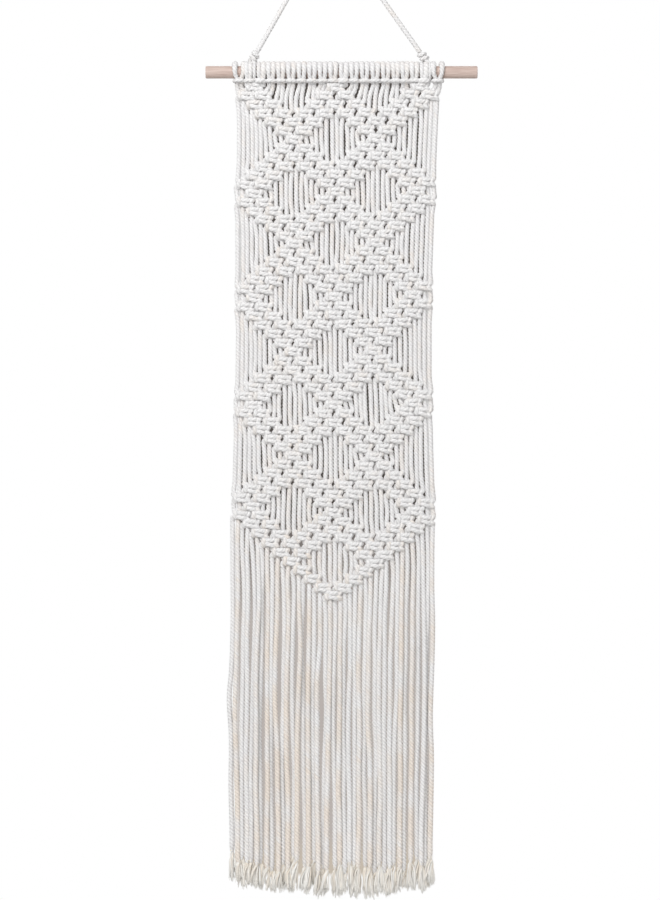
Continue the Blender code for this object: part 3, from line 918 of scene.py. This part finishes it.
for (start, direction), length in zip(brush_starts, brush_lengths):
    lean = direction[:2] / abs(direction[2]) * TIP_LEAN + random.normal(0, LEAN_SPREAD, 2)
    flare = np.array([random.uniform(*FLARE_ASIDE), random.uniform(*FLARE_DEEP)])
    for yarn in range(LOCKS * YARNS):
        if yarn % YARNS == 0:
            angle = random.uniform(0, 2 * math.pi)
            ring = math.sqrt(random.uniform(0, 1))
            wave = random.normal(0, LOCK_WAVE, 2)
            bends = random.uniform(*LOCK_BENDS)
            lock_length = length + random.uniform(*LOCK_UNEVEN) - OUTER_SHORT * ring**2
            lock_tone = random.uniform(0.0, 1.0)
        stray = random.normal(0, YARN_STRAY, 2)
        yarn_length = lock_length + random.uniform(*YARN_UNEVEN)
        base = len(tip_places)
        for step in range(YARN_STEPS + 1):
            down = (yarn_length + YARN_GRIP) * step / YARN_STEPS - YARN_GRIP
            share = max(0.0, down / length)
            twisted = down if down < 0 else UNTWIST * (1 - math.exp(-down / UNTWIST))
            twist = angle - 2 * math.pi * twisted / LAY_LENGTH
            around = np.array([math.cos(twist), math.sin(twist)]) * ring
            spread = around * (ROOT_SPREAD + (flare - ROOT_SPREAD) * share**FLARE_CURVE)
            spread = spread + stray * (STRAY_GROWS[0] + STRAY_GROWS[1] * share)
            spread = spread + lean * max(0.0, down) + wave * math.sin(bends * share) * share
            thick = YARN_RADIUS * (1 - YARN_THINS * share)
            for corner in range(YARN_SIDES):
                turn = 2 * math.pi * corner / YARN_SIDES + angle
                tip_places.append(
                    (
                        (start[0] + spread[0] + thick * math.cos(turn)) * MM,
                        (start[1] + spread[1] + thick * math.sin(turn)) * MM,
                        (start[2] - down) * MM,
                    )
                )
                tip_tones.append(lock_tone * max(0.0, 1 - share) ** TONE_FADE)
        for step in range(YARN_STEPS):
            here = base + step * YARN_SIDES
            below = here + YARN_SIDES
            for corner in range(YARN_SIDES):
                after = (corner + 1) % YARN_SIDES
                tip_faces.append((here + corner, below + corner, below + after, here + after))
        tip_faces.append(tuple(range(base, base + YARN_SIDES)))
        last = base + YARN_STEPS * YARN_SIDES
        tip_faces.append(tuple(range(last + YARN_SIDES - 1, last - 1, -1)))

TIP_LIGHT = "#F0EFEC"
TIP_WARM = "#E9DFD1"
# A painted glow: the tips give off a faint light of their own.
PAINTED_FIBRE_GLOW = "#FFFBF2"  # of the light that soft fibres pass on to each other
PAINTED_GLOW_STRENGTH = 0.02

# Combed cotton gives the eye a matt, fluffy brush, a little warmer than the cord and in
# slightly different tones from lock to lock. A faint painted glow lifts the brush, in place
# of the light passed between its fibres.
yarn_cotton = new_material("combed_cotton")
tip_tone = node(yarn_cotton, "ShaderNodeAttribute", attribute_name="tone")
tip_dye = node(yarn_cotton, "ShaderNodeValToRGB", {"Fac": tip_tone.outputs["Fac"]})
tip_dye.color_ramp.elements[0].color = linear(TIP_LIGHT)
tip_dye.color_ramp.elements[1].color = linear(TIP_WARM)
feed(yarn_cotton, "Base Color", tip_dye.outputs["Color"])
shader_of(yarn_cotton).inputs["Roughness"].default_value = 0.92
shader_of(yarn_cotton).inputs["Emission Color"].default_value = linear(PAINTED_FIBRE_GLOW)
shader_of(yarn_cotton).inputs["Emission Strength"].default_value = PAINTED_GLOW_STRENGTH

tip_mesh = bpy.data.meshes.new("brushed_tips")
tip_mesh.from_pydata(tip_places, [], tip_faces)
tip_attribute = tip_mesh.attributes.new("tone", "FLOAT", "POINT")
tip_attribute.data.foreach_set("value", tip_tones)
tip_mesh.shade_smooth()
tip_mesh.materials.append(yarn_cotton)
tip_piece = bpy.data.objects.new("brushed_tips", tip_mesh)
bpy.context.scene.collection.objects.link(tip_piece)
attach(tip_piece, "root")
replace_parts(tip_piece, "fringe")


# ---- Backdrop ---------------------------------------------------------------------------
# A white wall close behind the hanging, painted matt. It is seen from the front alone. Where
# the gaps in the net and the fringe show it, a soft shade is painted on it, in place of the
# shadow that the hanging would throw.

WALL_SIZE = (2.4, 1.5)  # m, wide and high
WALL_PLACE = (0, 14 * MM, -0.55)
WALL_LIGHT = "#FFFFFF"
SHADE_MIDDLE = 0.0045  # m, of the painted shade from side to side
SHADE_NARROW = 0.1135  # m, half its width above the point of the net
SHADE_WIDE = 0.1185  # m, the same at the fringe
SHADE_WIDENS = (-0.6, -0.75)  # m, the heights between which it widens
SHADE_TOP = -0.17  # m, its height at the rod
SHADE_FOOT = -1.144  # m, its height above the tips' ends
SHADE_BLUR = 3 * MM
# Colours of the painted shade: darkest behind the net, paler behind the fringe and tips.
SHADE_FALL = (-0.65, -1.15)  # m, the heights between which its colour changes
NET_SHADE = (0.1, "#524D4A")  # a share of the way down, and the colour there
FRINGE_SHADE = (0.35, "#B9B2AE")
FRINGE_SHADE_LOW = (0.88, "#B9B2AE")
TIP_SHADE = (0.95, "#C6BBAD")

bpy.ops.object.select_all(action="DESELECT")
bpy.ops.mesh.primitive_plane_add(size=1, location=(0, 0, 0))
wall = bpy.context.object
wall.name = "backdrop"
wall.data.transform(Matrix.Diagonal((*WALL_SIZE, 1, 1)))
wall.data.transform(Matrix.Rotation(math.radians(90), 4, "X"))
wall.data.transform(Matrix.Translation(WALL_PLACE))
wall.visible_shadow = False
wall.visible_diffuse = False
wall.visible_glossy = False

# Matt wall paint gives the eye an even white ground. It lights itself, so that it stays even,
# and the hanging's shade is painted on it. Its back is clear, so that it hides nothing.
wall_paint = new_material("matt_wall_paint")
wall_nodes = wall_paint.node_tree
wall_nodes.nodes.remove(shader_of(wall_paint))
spot = node(wall_paint, "ShaderNodeTexCoord")
axes = node(wall_paint, "ShaderNodeSeparateXYZ", {"Vector": spot.outputs["Object"]})
sideways = node(wall_paint, "ShaderNodeMath", {0: axes.outputs["X"]}, operation="SUBTRACT")
sideways.inputs[1].default_value = SHADE_MIDDLE
off_middle = node(
    wall_paint,
    "ShaderNodeMath",
    {0: sideways.outputs["Value"]},
    operation="ABSOLUTE",
)
half_width = node(wall_paint, "ShaderNodeMapRange", {0: axes.outputs["Z"]})
half_width.inputs["From Min"].default_value = SHADE_WIDENS[0]
half_width.inputs["From Max"].default_value = SHADE_WIDENS[1]
half_width.inputs["To Min"].default_value = SHADE_NARROW
half_width.inputs["To Max"].default_value = SHADE_WIDE
from_side = node(
    wall_paint,
    "ShaderNodeMath",
    {0: half_width.outputs["Result"], 1: off_middle.outputs["Value"]},
    operation="SUBTRACT",
)
from_foot = node(wall_paint, "ShaderNodeMath", {0: axes.outputs["Z"]}, operation="SUBTRACT")
from_foot.inputs[1].default_value = SHADE_FOOT
from_top = node(wall_paint, "ShaderNodeMath", {1: axes.outputs["Z"]}, operation="SUBTRACT")
from_top.inputs[0].default_value = SHADE_TOP
from_end = node(
    wall_paint,
    "ShaderNodeMath",
    {0: from_foot.outputs["Value"], 1: from_top.outputs["Value"]},
    operation="MINIMUM",
)
from_edge = node(
    wall_paint,
    "ShaderNodeMath",
    {0: from_end.outputs["Value"], 1: from_side.outputs["Value"]},
    operation="MINIMUM",
)
# Where the painted shade lies, with soft edges.
painted_shade_mask = node(wall_paint, "ShaderNodeMapRange", {0: from_edge.outputs["Value"]})
painted_shade_mask.inputs["From Min"].default_value = -SHADE_BLUR
painted_shade_mask.inputs["From Max"].default_value = SHADE_BLUR
fall = node(wall_paint, "ShaderNodeMapRange", {0: axes.outputs["Z"]})
fall.inputs["From Min"].default_value = SHADE_FALL[0]
fall.inputs["From Max"].default_value = SHADE_FALL[1]
painted_shade_colour = node(wall_paint, "ShaderNodeValToRGB", {"Fac": fall.outputs["Result"]})
painted_shade_colour.color_ramp.elements[0].position = NET_SHADE[0]
painted_shade_colour.color_ramp.elements[0].color = linear(NET_SHADE[1])
painted_shade_colour.color_ramp.elements[1].position = FRINGE_SHADE[0]
painted_shade_colour.color_ramp.elements[1].color = linear(FRINGE_SHADE[1])
for stop, colour in (FRINGE_SHADE_LOW, TIP_SHADE):
    painted_shade_colour.color_ramp.elements.new(stop).color = linear(colour)
wall_colour = node(
    wall_paint,
    "ShaderNodeMix",
    {0: painted_shade_mask.outputs["Result"], 7: painted_shade_colour.outputs["Color"]},
    data_type="RGBA",
)
wall_colour.inputs[6].default_value = linear(WALL_LIGHT)
paint = node(wall_paint, "ShaderNodeEmission", {"Color": wall_colour.outputs[2]})
clear = node(wall_paint, "ShaderNodeBsdfTransparent")
face = node(wall_paint, "ShaderNodeNewGeometry")
one_sided = node(
    wall_paint,
    "ShaderNodeMixShader",
    {0: face.outputs["Backfacing"], 1: paint.outputs["Emission"], 2: clear.outputs["BSDF"]},
)
wall_end = wall_nodes.nodes["Material Output"].inputs["Surface"]
wall_nodes.links.new(one_sided.outputs["Shader"], wall_end)
wall.data.materials.append(wall_paint)


# ---- Floor ------------------------------------------------------------------------------
# A plain pale studio floor below the fringe, a flat painted disc. It lies out of the front
# view and gives the other views a ground.

FLOOR_RADIUS = 0.8  # m
FLOOR_HEIGHT = -1.32  # m
FLOOR_PALE = "#F4F3F1"

bpy.ops.mesh.primitive_circle_add(
    vertices=96,
    radius=FLOOR_RADIUS,
    fill_type="NGON",
    location=(0, 0, FLOOR_HEIGHT),
)
floor = bpy.context.object
floor.name = "floor"

# Matt floor paint gives the eye a plain warm white that takes soft shadows.
floor_paint = new_material("matt_floor_paint")
shader_of(floor_paint).inputs["Base Color"].default_value = linear(FLOOR_PALE)
shader_of(floor_paint).inputs["Roughness"].default_value = 0.8
floor.data.materials.append(floor_paint)


# ---- Light and camera -------------------------------------------------------------------
# A broad soft box lights the hanging from the upper left, with a weak one on the right and one
# behind, in a white room. A long lens looks straight at it from the front, and the picture's
# upper edge cuts the hanger cord below its hook.

ROOM_LIGHT = 0.44  # strength, as the room lights the hanging
ROOM_SEEN = 1.0  # strength, as the camera sees the room
LIGHT_AIM = (0, 0, -0.6)
CAMERA_PLACE = (-0.0005, -3.0375, -0.6254)
LENS = 100  # mm
SENSOR = 36  # mm

world = bpy.data.worlds.new("studio")
bpy.context.scene.world = world
world.use_nodes = True
room = world.node_tree.nodes["Background"]
room.inputs["Color"].default_value = linear("#FFFFFF")
rays = node(world, "ShaderNodeLightPath")
brightness = node(world, "ShaderNodeMapRange", {0: rays.outputs["Is Camera Ray"]})
brightness.inputs["To Min"].default_value = ROOM_LIGHT
brightness.inputs["To Max"].default_value = ROOM_SEEN
world.node_tree.links.new(brightness.outputs["Result"], room.inputs["Strength"])


def soft_light(name, place, size, watts):
    """A square soft box, sized in metres, that faces the middle of the hanging."""
    data = bpy.data.lights.new(name, "AREA")
    data.size = size
    data.energy = watts
    made = bpy.data.objects.new(name, data)
    bpy.context.scene.collection.objects.link(made)
    made.location = place
    aim = Vector(LIGHT_AIM) - Vector(place)
    made.rotation_euler = aim.to_track_quat("-Z", "Y").to_euler()


soft_light("key", place=(-0.9, -2.4, 0.9), size=1.6, watts=69.5)
soft_light("fill", place=(1.3, -2.2, -0.4), size=1.8, watts=6)
soft_light("back", place=(0.6, 2.2, 0.3), size=1.6, watts=42)

camera_data = bpy.data.cameras.new("front_camera")
camera_data.lens = LENS
camera_data.sensor_width = SENSOR
camera = bpy.data.objects.new("front_camera", camera_data)
bpy.context.scene.collection.objects.link(camera)
camera.location = CAMERA_PLACE
camera.rotation_euler = (math.radians(90), 0, 0)
bpy.context.scene.camera = camera
bpy.context.scene.view_settings.view_transform = "Standard"
